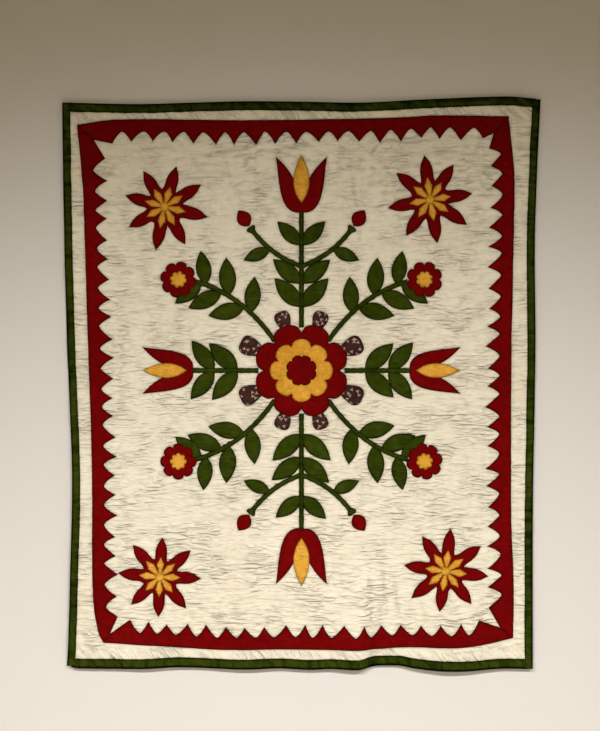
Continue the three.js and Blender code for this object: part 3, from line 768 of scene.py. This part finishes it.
def quilt_body(material):
    """The quilted cloth: a fine front, a coarser back and a rim between them."""
    bm = bmesh.new()
    bmesh.ops.create_grid(bm, x_segments=GRID_ACROSS, y_segments=GRID_DOWN, size=0.5)
    front = set(bm.verts)
    bmesh.ops.create_grid(bm, x_segments=GRID_ACROSS // 3, y_segments=GRID_DOWN // 3, size=0.5)
    back_faces = {face for vertex in bm.verts if vertex not in front for face in vertex.link_faces}
    bmesh.ops.reverse_faces(bm, faces=list(back_faces))
    for vertex in bm.verts:
        vertex.co = (vertex.co.x, -1.0 if vertex in front else 1.0, vertex.co.y)
    rims = [edge for edge in bm.edges if edge.is_boundary]
    bmesh.ops.bridge_loops(bm, edges=rims)

    def hang(share_across, mark, share_up):
        across, height = hanging_place(share_across + 0.5, 0.5 - share_up)
        across = across - np.sign(share_across) * BODY_INSET * (np.abs(share_across) > 0.4999)
        height = height - np.sign(share_up) * BODY_INSET * (np.abs(share_up) > 0.4999)
        surface = surface_at(across, height)
        covered = covered_share(GROUND_COVERS + BINDING_COVERS, across, height)
        away = distance_to(SEWN_EDGES, across, height)
        middle = forward_at(across, height)
        sunk = surface - SUNK_UNDER_PATCHES * covered * smooth_step(0, 2, away)
        surface = np.maximum(sunk, np.minimum(surface, middle + LEAST_FRONT))
        inwards = np.minimum(0.5 - np.abs(share_across), 0.5 - np.abs(share_up)) * 1000
        ripple = 0.25 * crinkle_at(across, height) * smooth_step(22, 50, inwards)
        behind = middle - CLOTH_THICKNESS / 2 + np.clip(ripple, -0.6, 0.3)
        return across, -np.where(mark < 0, surface, behind), height

    moved(bm, hang)
    across, _, height = places_of(bm) / MM
    # Painted shade along the cloth's sewn edges.
    clear = smooth_step(0.3, 3.6, distance_to(SEWN_EDGES, across, height))
    return finished("quilted_cloth", bm, material, clear)


CELL_ACROSS = 4.4
CELL_HEIGHT = 2.8
CUT_SHIFT = 0.013  # keeps the cuts off the outline's own points
ROLL_WIDTH = 0.8
# Painted seam shade is kept light along the border's mitred corners.
MITRE_CLEAR = 0.8  # the seams in the border's corners hardly show
MITRES = tree_of([np.array(line, float) for line in (
    ((-465, -54), (-438, -76)), ((430, -36), (407, -63)),
    ((-411, -1127), (-402, -1114)), ((439, -1118), (418, -1101)),
)])


def patch_shell(bm_all, outline, layer):
    """One patch: filled, cut into small faces, laid on the cloth with a turned edge, closed behind."""
    bm = bmesh.new()
    clean = resampled(outline, 3.2)
    face = bm.faces.new([bm.verts.new((x, 0, z)) for x, z in clean])
    face.normal_update()
    if face.normal.y > 0:
        face.normal_flip()
    bmesh.ops.inset_region(bm, faces=[face], thickness=ROLL_WIDTH, use_even_offset=True, use_boundary=True)
    low, high = clean.min(0), clean.max(0)
    for axis, cell in ((0, CELL_ACROSS), (1, CELL_HEIGHT)):
        normal = Vector((1 - axis, 0, axis))
        for cut in np.arange(math.ceil(low[axis] / cell) * cell + CUT_SHIFT, high[axis], cell):
            geom = bm.verts[:] + bm.edges[:] + bm.faces[:]
            bmesh.ops.bisect_plane(bm, geom=geom, dist=1e-4, plane_co=normal * cut, plane_no=normal)
    bmesh.ops.triangulate(bm, faces=[face for face in bm.faces if len(face.verts) > 4])
    kept = bmesh.ops.extrude_face_region(bm, geom=bm.faces[:], use_keep_orig=True)
    for item in kept["geom"]:
        if isinstance(item, bmesh.types.BMVert):
            item.co.y = 1.0
    own_edge = tree_of([outline])
    across, mark, height = places_of(bm)
    # Painted shade along the patch's outline, lighter at the border's mitres, none behind.
    clear = smooth_step(0.1, 2.4, distance_to(own_edge, across, height))
    by_mitre = smooth_step(4, 2, distance_to(MITRES, across, height))
    clear = np.maximum(clear, MITRE_CLEAR * by_mitre) * (mark < 0.5)

    def lay(across, mark, height):
        away = distance_to(own_edge, across, height)
        surface = surface_at(across, height) + layer * LAYER_RISE
        lift = 0.5 + PATCH_THICKNESS * (1 - np.exp(-away / 0.9)) + 0.35 * (1 - np.exp(-away / 6))
        return across, -(surface + np.where(mark < 0.5, lift, -0.5)), height

    moved(bm, lay)
    shell = bpy.data.meshes.new("shell")
    bm.to_mesh(shell)
    bm.free()
    bm_all.from_mesh(shell)
    bpy.data.meshes.remove(shell)
    return clear


def sewn_patches(materials):
    """One piece for each CAD node, joined from its patches."""
    groups = {}
    for node, outline, layer in PATCHES:
        groups.setdefault(node, []).append((outline, layer))
    pieces = {}
    for node, shells in groups.items():
        bm = bmesh.new()
        clear = np.concatenate([patch_shell(bm, outline, layer) for outline, layer in shells])
        pieces[node] = finished("sewn_" + node, bm, materials[cloth_of(node)], clear)
    return pieces


def cloth_of(node):
    if node.startswith(("binding", "sprig", "curved_sprig")):
        return "green_cotton"
    if node.startswith(("star", "tulip_heart", "rosette_heart", "rose_middle")):
        return "gold_cotton"
    if node.startswith("printed_petal"):
        return "brown_print"
    return "red_cotton"


# Binding

BINDING_STEP = 2.6
GATHER_CELL = 11
GATHER_THINNESS = 0.17
BINDING_AROUND = 24
BINDING_TUCK = 6
BUNCHING = 1.25  # rows lie closer together by the fold
ALONG_ONLY = 400  # a cell's height for noise that changes along the strip only


def binding_strip(node, material):
    """A strip wrapped from front to back, gathered a little by its sewing."""
    table, outward, lying, width = BINDINGS[node]
    start, end = table[0][0], table[-1][0]
    if lying:
        start = edge_at(LEFT_EDGE, np.array(table[0][1])) + BINDING_SIDE - BINDING_TUCK
        end = edge_at(RIGHT_EDGE, np.array(table[-1][1])) - BINDING_SIDE + BINDING_TUCK
    start, end, seed = float(start), float(end), len(node)
    bm = bmesh.new()
    steps = int((end - start) / BINDING_STEP)
    bmesh.ops.create_grid(bm, x_segments=steps, y_segments=BINDING_AROUND, size=0.5)

    share_along, share_round, _ = places_of(bm)
    inset = width * np.abs(share_round * 2) ** BUNCHING
    at = mix(start, end, share_along + 0.5)
    # Painted shade and shadow: dark lines along the fold and the sewn edge, a wider painted shadow along the
    # foot's lower edge, and darker lines at the gathers.
    gather_shade = -fine_valleys(at, 0 * at, GATHER_CELL, ALONG_ONLY, seed + 1, GATHER_THINNESS)
    shaded = 3.8 if node == "binding_foot" else 2.0
    clear = smooth_step(shaded, shaded + 2.6, inset) * smooth_step(width + 0.2, width - 3.0, inset)
    clear *= 1 - 0.55 * gather_shade

    def wrap(share_along, share_round, _):
        at = mix(start, end, share_along + 0.5)
        around = share_round * 2  # -1 at the front's sewn edge, 0 on the fold, 1 behind
        slant = at + 3 * around
        gather = fine_valleys(slant, 0 * at, GATHER_CELL, ALONG_ONLY, seed + 1, GATHER_THINNESS)
        pucker = soft_noise(slant, 0 * at, 8, ALONG_ONLY, seed) + 1.8 * gather
        wide = width + (1.4 if lying else 2.4) + 0.5 * soft_noise(at, 0 * at, 40, ALONG_ONLY, seed + 2)
        inset = wide * np.abs(around) ** BUNCHING
        edge = edge_at(table, at) - outward * inset
        across, height = (at, edge) if lying else (edge, at)
        near_sewn = smooth_step(1.0, 0.955, np.abs(around))
        rounded = np.sqrt(1 - (1 - np.clip(inset / 2.6, 0, 1)) ** 2)
        taper = BINDING_TUCK if lying else 2.5
        closed = np.sqrt(np.clip(np.minimum(at - start, end - at) / taper, 0, 1))
        surface = surface_at(across, height)
        middle = forward_at(across, height)
        stand = 0.3 + near_sewn * (1.1 + 0.7 * pucker * rounded) + (0 if lying else 0.35)
        front = middle + (surface - middle + stand) * rounded * closed
        stand_behind = 0.3 + near_sewn * (1.1 + 0.2 * pucker * rounded)
        behind = middle - (CLOTH_THICKNESS / 2 + stand_behind) * rounded * closed
        return across, -np.where(around < 0, front, behind), height

    moved(bm, wrap)
    return finished(node + "_cloth", bm, material, clear)


# Materials

def fill_inputs(tree, node, inputs):
    """Links each input to a socket, or sets it to a value."""
    for label, value in inputs.items():
        if isinstance(value, bpy.types.NodeSocket):
            tree.links.new(value, node.inputs[label])
        else:
            node.inputs[label].default_value = value


def add_node(tree, kind, inputs, **settings):
    """A shader node with its settings and inputs."""
    node = tree.nodes.new("ShaderNode" + kind)
    for label, setting in settings.items():
        setattr(node, label, setting)
    fill_inputs(tree, node, inputs)
    return node


def math_node(tree, operation, *values, clamp=False):
    return add_node(tree, "Math", dict(enumerate(values)), operation=operation, use_clamp=clamp).outputs[0]


def mixed(tree, factor, first, second):
    inputs = {"Factor": factor, "A": first, "B": (*second, 1.0)}
    return add_node(tree, "Mix", inputs, data_type="RGBA").outputs["Result"]


def group_of(name, values, outputs):
    """A shader group that takes a vector and named values, and gives named values."""
    group = bpy.data.node_groups.new(name, "ShaderNodeTree")
    group.interface.new_socket("Vector", in_out="INPUT", socket_type="NodeSocketVector")
    for label, value in values.items():
        socket = group.interface.new_socket(label, in_out="INPUT", socket_type="NodeSocketFloat")
        socket.default_value = value
    for label in outputs:
        group.interface.new_socket(label, in_out="OUTPUT", socket_type="NodeSocketFloat")
    given, out = group.nodes.new("NodeGroupInput"), group.nodes.new("NodeGroupOutput")
    return group, given.outputs, out.inputs


def plain_weave_group():
    """Over-and-under threads: a height."""
    group, given, out = group_of("plain_weave", {"Threads": 1500.0}, ["Height"])
    apart = add_node(group, "SeparateXYZ", {0: given["Vector"]}).outputs
    waves = []
    for axis in ("X", "Z"):
        turns = math_node(group, "MULTIPLY", apart[axis], given["Threads"])
        waves.append(math_node(group, "SINE", math_node(group, "MULTIPLY", turns, 2 * math.pi)))
    product = math_node(group, "MULTIPLY", *waves)
    group.links.new(math_node(group, "MULTIPLY_ADD", product, 0.5, 0.5), out["Height"])
    return group


def worn_tone_group():
    """Uneven fading: broad and fine patches of noise in one value about a half."""
    group, given, out = group_of("worn_tone", {"Broad": 5.0, "Fine": 60.0}, ["Tone"])
    values = []
    for label, detail in (("Broad", 4.0), ("Fine", 3.0)):
        inputs = {"Detail": detail, "Vector": given["Vector"], "Scale": given[label]}
        values.append(add_node(group, "TexNoise", inputs).outputs["Fac"])
    total = math_node(group, "ADD", *values)
    group.links.new(math_node(group, "MULTIPLY", total, 0.5), out["Tone"])
    return group


def small_print_group():
    """Small scattered three-lobed sprigs: a mask."""
    group, given, out = group_of("small_print", {"Pitch": 0.014, "Size": 0.3}, ["Mask"])
    inputs = {"Rotation": (math.radians(90), 0, 0), "Vector": given["Vector"]}
    turned = add_node(group, "Mapping", inputs).outputs[0]
    scale = math_node(group, "DIVIDE", 1.0, given["Pitch"])
    inputs = {"Randomness": 0.85, "Vector": turned, "Scale": scale}
    cells = add_node(group, "TexVoronoi", inputs, voronoi_dimensions="2D", feature="F1").outputs
    inputs = {0: turned, 1: cells["Position"]}
    offset = add_node(group, "VectorMath", inputs, operation="SUBTRACT").outputs[0]
    apart = add_node(group, "SeparateXYZ", {0: offset}).outputs
    turn = math_node(group, "ARCTAN2", apart["Y"], apart["X"])
    chance = add_node(group, "SeparateColor", {0: cells["Color"]}).outputs[0]
    spun = math_node(group, "MULTIPLY_ADD", chance, 6.28, turn)
    lobes = math_node(group, "COSINE", math_node(group, "MULTIPLY", spun, 3.0))
    reach = math_node(group, "MULTIPLY_ADD", lobes, 0.12, given["Size"])
    gap = math_node(group, "SUBTRACT", reach, cells["Distance"])
    group.links.new(math_node(group, "MULTIPLY", gap, 14.0, clamp=True), out["Mask"])
    return group


def fine_wrinkle_group():
    """Small wrinkles, longer across than down or turned aside: a height, and thin valleys used as painted
    shade.
    """
    group, given, out = group_of(
        "fine_wrinkle", {"Scale": 30.0, "Stretch": 3.0, "Upright": 0.0}, ["Height", "ValleyShade"])
    inputs = {"Rotation": (0, math.radians(38), 0), "Vector": given["Vector"]}
    turned = add_node(group, "Mapping", inputs).outputs[0]
    fields = []
    for place, long_axis, short_axis in ((given["Vector"], "X", "Z"), (turned, "Z", "X")):
        inputs = {long_axis: 1.0, "Y": 1.0, short_axis: given["Stretch"]}
        longer = add_node(group, "CombineXYZ", inputs).outputs[0]
        stretched = add_node(group, "VectorMath", {0: place, 1: longer}, operation="MULTIPLY").outputs[0]
        inputs = {"Detail": 1.5, "Distortion": 0.2, "Vector": stretched, "Scale": given["Scale"]}
        fields.append(add_node(group, "TexNoise", inputs).outputs["Fac"])
    inputs = {"Factor": given["Upright"], "A": fields[0], "B": fields[1]}
    field = add_node(group, "Mix", inputs).outputs["Result"]
    off = math_node(group, "ABSOLUTE", math_node(group, "SUBTRACT", field, 0.5))
    ridge = math_node(group, "MULTIPLY", off, 6.0, clamp=True)
    thin = math_node(group, "SUBTRACT", 1.0, math_node(group, "MULTIPLY", off, 26.0, clamp=True))
    inputs = {"Scale": 17.0, "Detail": 2.0, "Vector": given["Vector"]}
    broken = add_node(group, "TexNoise", inputs).outputs["Fac"]
    kept = math_node(group, "MULTIPLY", math_node(group, "SUBTRACT", broken, 0.44), 6.0, clamp=True)
    depth = math_node(group, "MULTIPLY_ADD", kept, 0.7, 0.3)
    group.links.new(math_node(group, "MULTIPLY", thin, kept), out["ValleyShade"])
    group.links.new(math_node(group, "MULTIPLY", ridge, depth), out["Height"])
    return group


GROUPS = {}


def use_group(tree, name, **values):
    return add_node(tree, "Group", values, node_tree=GROUPS[name]).outputs


def colour_ramp(tree, factor, stops):
    ramp = add_node(tree, "ValToRGB", {0: factor})
    elements = ramp.color_ramp.elements
    while len(elements) < len(stops):
        elements.new(0.5)
    for element, (place, colour) in zip(elements, stops):
        element.position = place
        element.color = (*colour, 1.0)
    return ramp.outputs[0]


THREADS = 1500.0  # to the metre
WRINKLE_SCALE = 24.0
WRINKLE_STRETCH = 4.0
FINE_VALLEY_SHADE_SHARE = 0.55
WEAVE_SHARE = 0.05
BUMP_DISTANCE = 0.006
FIGURE_SIZE = 0.20

# Columns: name, ramp of the worn tone, fuzz, tone of the painted shade at sewn edges, tone of the
# painted shade in valleys, strength of the bumps, and the printed figures' pitch in metres, strength and
# colour.

COTTONS = {
    "cream_cotton": (
        "quilted_cream_cotton",
        ((0.32, (0.81, 0.735, 0.575)), (0.48, (0.87, 0.81, 0.65)), (0.66, (0.90, 0.85, 0.70))),
        0.08, 0.84, 0.66, 1.0, None,
    ),
    "green_cotton": (
        "faded_green_cotton",
        ((0.32, (0.018, 0.029, 0.0012)), (0.5, (0.029, 0.044, 0.0018)), (0.68, (0.046, 0.064, 0.005))),
        0.0, 0.04, 0.35, 0.6, None,
    ),
    "red_cotton": (
        "deep_red_cotton",
        ((0.32, (0.105, 0.0006, 0.0008)), (0.5, (0.135, 0.0008, 0.001)), (0.68, (0.165, 0.002, 0.002))),
        0.0, 0.10, 0.75, 0.35, None,
    ),
    "gold_cotton": (
        "printed_gold_cotton",
        ((0.32, (0.54, 0.245, 0.022)), (0.5, (0.66, 0.335, 0.038)), (0.68, (0.76, 0.42, 0.075))),
        0.0, 0.4, 0.7, 0.5, (0.0065, 0.4, (0.30, 0.09, 0.01)),
    ),
    "brown_print": (
        "sprigged_brown_cotton",
        ((0.32, (0.032, 0.012, 0.011)), (0.5, (0.048, 0.018, 0.016)), (0.68, (0.07, 0.028, 0.023))),
        0.0, 0.2, 0.6, 0.4, (0.0125, 0.85, (0.52, 0.38, 0.30)),
    ),
}


def new_material(name):
    material = bpy.data.materials.new(name)
    material.use_nodes = True
    return material, material.node_tree, material.node_tree.nodes["Principled BSDF"]


def cotton(name, stops, fuzz, seam_shade_tone, valley_shade_tone, bump_strength, figures):
    """A woven cotton: faded tone, painted shade along sewn edges and in small valleys, threads and fine
    wrinkles, maybe a print.
    """
    material, tree, shader = new_material(name)
    coordinates = add_node(tree, "TexCoord", {}).outputs["Object"]
    tone = use_group(tree, "worn_tone", Vector=coordinates, Broad=4.5, Fine=85.0)[0]
    colour = colour_ramp(tree, tone, stops)
    if figures:
        pitch, strength, ink = figures
        mask = use_group(tree, "small_print", Vector=coordinates, Pitch=pitch, Size=FIGURE_SIZE)[0]
        colour = mixed(tree, math_node(tree, "MULTIPLY", mask, strength), colour, ink)
    clear, upright, deep = (
        add_node(tree, "Attribute", {}, attribute_name=label).outputs["Fac"]
        for label in ("clear_of_seam_shade", "upright_crinkles", "in_valley_shade")
    )
    # Painted shade: the colour darkens at sewn edges and in small and fine valleys.
    edge = math_node(tree, "MULTIPLY_ADD", clear, 1 - seam_shade_tone, seam_shade_tone)
    wrinkle = use_group(tree, "fine_wrinkle", Vector=coordinates, Scale=WRINKLE_SCALE,
                        Stretch=WRINKLE_STRETCH, Upright=upright)
    low = math_node(tree, "MULTIPLY_ADD", wrinkle["ValleyShade"], FINE_VALLEY_SHADE_SHARE, deep)
    valley = math_node(tree, "MULTIPLY_ADD", math_node(tree, "MINIMUM", low, 1.0), valley_shade_tone - 1, 1.0)
    shade = math_node(tree, "MULTIPLY", edge, valley)
    toned = add_node(tree, "VectorMath", {0: colour, "Scale": shade}, operation="SCALE").outputs[0]
    weave = use_group(tree, "plain_weave", Vector=coordinates, Threads=THREADS)[0]
    height = math_node(tree, "MULTIPLY_ADD", weave, WEAVE_SHARE, wrinkle["Height"])
    inputs = {"Strength": bump_strength, "Distance": BUMP_DISTANCE, "Height": height}
    bump = add_node(tree, "Bump", inputs).outputs[0]
    fill_inputs(tree, shader, {
        "Base Color": toned, "Normal": bump, "Roughness": 0.92, "Specular IOR Level": 0.03,
        "Sheen Weight": fuzz, "Sheen Roughness": 0.6,
    })
    return material


def make_materials():
    for group in (plain_weave_group(), worn_tone_group(), small_print_group(), fine_wrinkle_group()):
        GROUPS[group.name] = group
    return {slot: cotton(*row) for slot, row in COTTONS.items()}


# Camera, lights and stage

CAMERA_DISTANCE = 2.4
VIEW_HEIGHT = 1.528  # how much of the wall the picture shows from top to bottom
VIEW_ACROSS = -0.003
VIEW_MIDDLE = -0.5516
SENSOR = 36.0
WALL_GAP = 0.001
AMBIENT = 0.25
AMBIENT_COLOUR = (1.0, 0.75, 0.38, 1)
BEAM_COLOUR = (1.0, 0.98, 0.97)
BEAM_ACROSS = 1.5
BEAM_FORWARD = 3.8
BEAM_UP = 1.6
BEAM_TARGET = (0, 0, -2.66)
BEAM_POWER = 590
BEAM_CONE = 55.5
BEAM_BLEND = 1.0
FLOOR_DROP = 0.45


def add_camera():
    data = bpy.data.cameras.new("camera")
    data.sensor_width = SENSOR
    data.lens = SENSOR * CAMERA_DISTANCE / VIEW_HEIGHT
    camera = added("camera", data)
    camera.location = (VIEW_ACROSS, -CAMERA_DISTANCE, VIEW_MIDDLE)
    camera.rotation_euler = (math.radians(90), 0, 0)
    bpy.context.scene.camera = camera


def add_light(name, kind, place, target, power, size, colour=(1, 1, 1), cone=None):
    data = bpy.data.lights.new(name, kind)
    data.energy = power
    data.color = colour
    if kind == "AREA":
        data.size = size
    else:
        data.shadow_soft_size = size
        data.spot_size = math.radians(cone)
        data.spot_blend = BEAM_BLEND
    lamp = added(name, data)
    lamp.location = place
    lamp.rotation_euler = (Vector(target) - Vector(place)).to_track_quat("-Z", "Y").to_euler()


def add_lights():
    world = bpy.data.worlds.new("studio")
    bpy.context.scene.world = world
    world.use_nodes = True
    background = world.node_tree.nodes["Background"]
    fill_inputs(world.node_tree, background, {"Color": AMBIENT_COLOUR, "Strength": AMBIENT})
    for name, side in (("left_beam", -1), ("right_beam", 1)):
        place = (side * BEAM_ACROSS, -BEAM_FORWARD, BEAM_UP)
        add_light(name, "SPOT", place, BEAM_TARGET, BEAM_POWER, 0.10, BEAM_COLOUR, BEAM_CONE)
    add_light("back_fill", "AREA", (0, 2.2, 0.2), (0, 0, -0.6), 18, 2.0)


def plain_material(name, colour, one_sided=False):
    material, tree, shader = new_material(name)
    fill_inputs(tree, shader, {"Base Color": (*colour, 1), "Roughness": 0.9})
    if one_sided:
        clear = add_node(tree, "BsdfTransparent", {}).outputs[0]
        behind = add_node(tree, "NewGeometry", {}).outputs["Backfacing"]
        choice = add_node(tree, "MixShader", {"Fac": behind, 1: shader.outputs[0], 2: clear})
        tree.links.new(choice.outputs[0], tree.nodes["Material Output"].inputs["Surface"])
    return material


def add_stage():
    """A pale floor, and a pale wall that is clear from behind."""
    floor_height = CAD_LOW.z - FLOOR_DROP
    for name, place, turn, material in (
        ("floor", (0, 0, floor_height), 0, plain_material("pale_floor", (0.78, 0.76, 0.72))),
        ("wall", (0, CAD_HIGH.y + WALL_GAP, floor_height + 3), 90,
         plain_material("pale_wall", (0.63, 0.615, 0.585), one_sided=True)),
    ):
        bm = bmesh.new()
        bmesh.ops.create_grid(bm, x_segments=2, y_segments=2, size=3)
        upwards = Matrix.Rotation(math.radians(turn), 3, "X")
        bmesh.ops.rotate(bm, cent=(0, 0, 0), verts=bm.verts, matrix=upwards)
        bmesh.ops.translate(bm, vec=place, verts=bm.verts)
        stage = finished(name, bm, material)
        if turn:
            stage.visible_shadow = False


add_camera()
add_lights()
add_stage()
MATERIALS = make_materials()

cloth = quilt_body(MATERIALS["cream_cotton"])
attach(cloth, "root")
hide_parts("quilt_body")

sewn = sewn_patches(MATERIALS)
for node in BINDINGS:
    sewn[node] = binding_strip(node, MATERIALS["green_cotton"])
for node, piece in sewn.items():
    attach(piece, "root")
    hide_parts(node)

bpy.context.scene.view_settings.view_transform = "Standard"
bpy.context.scene.view_settings.look = "None"
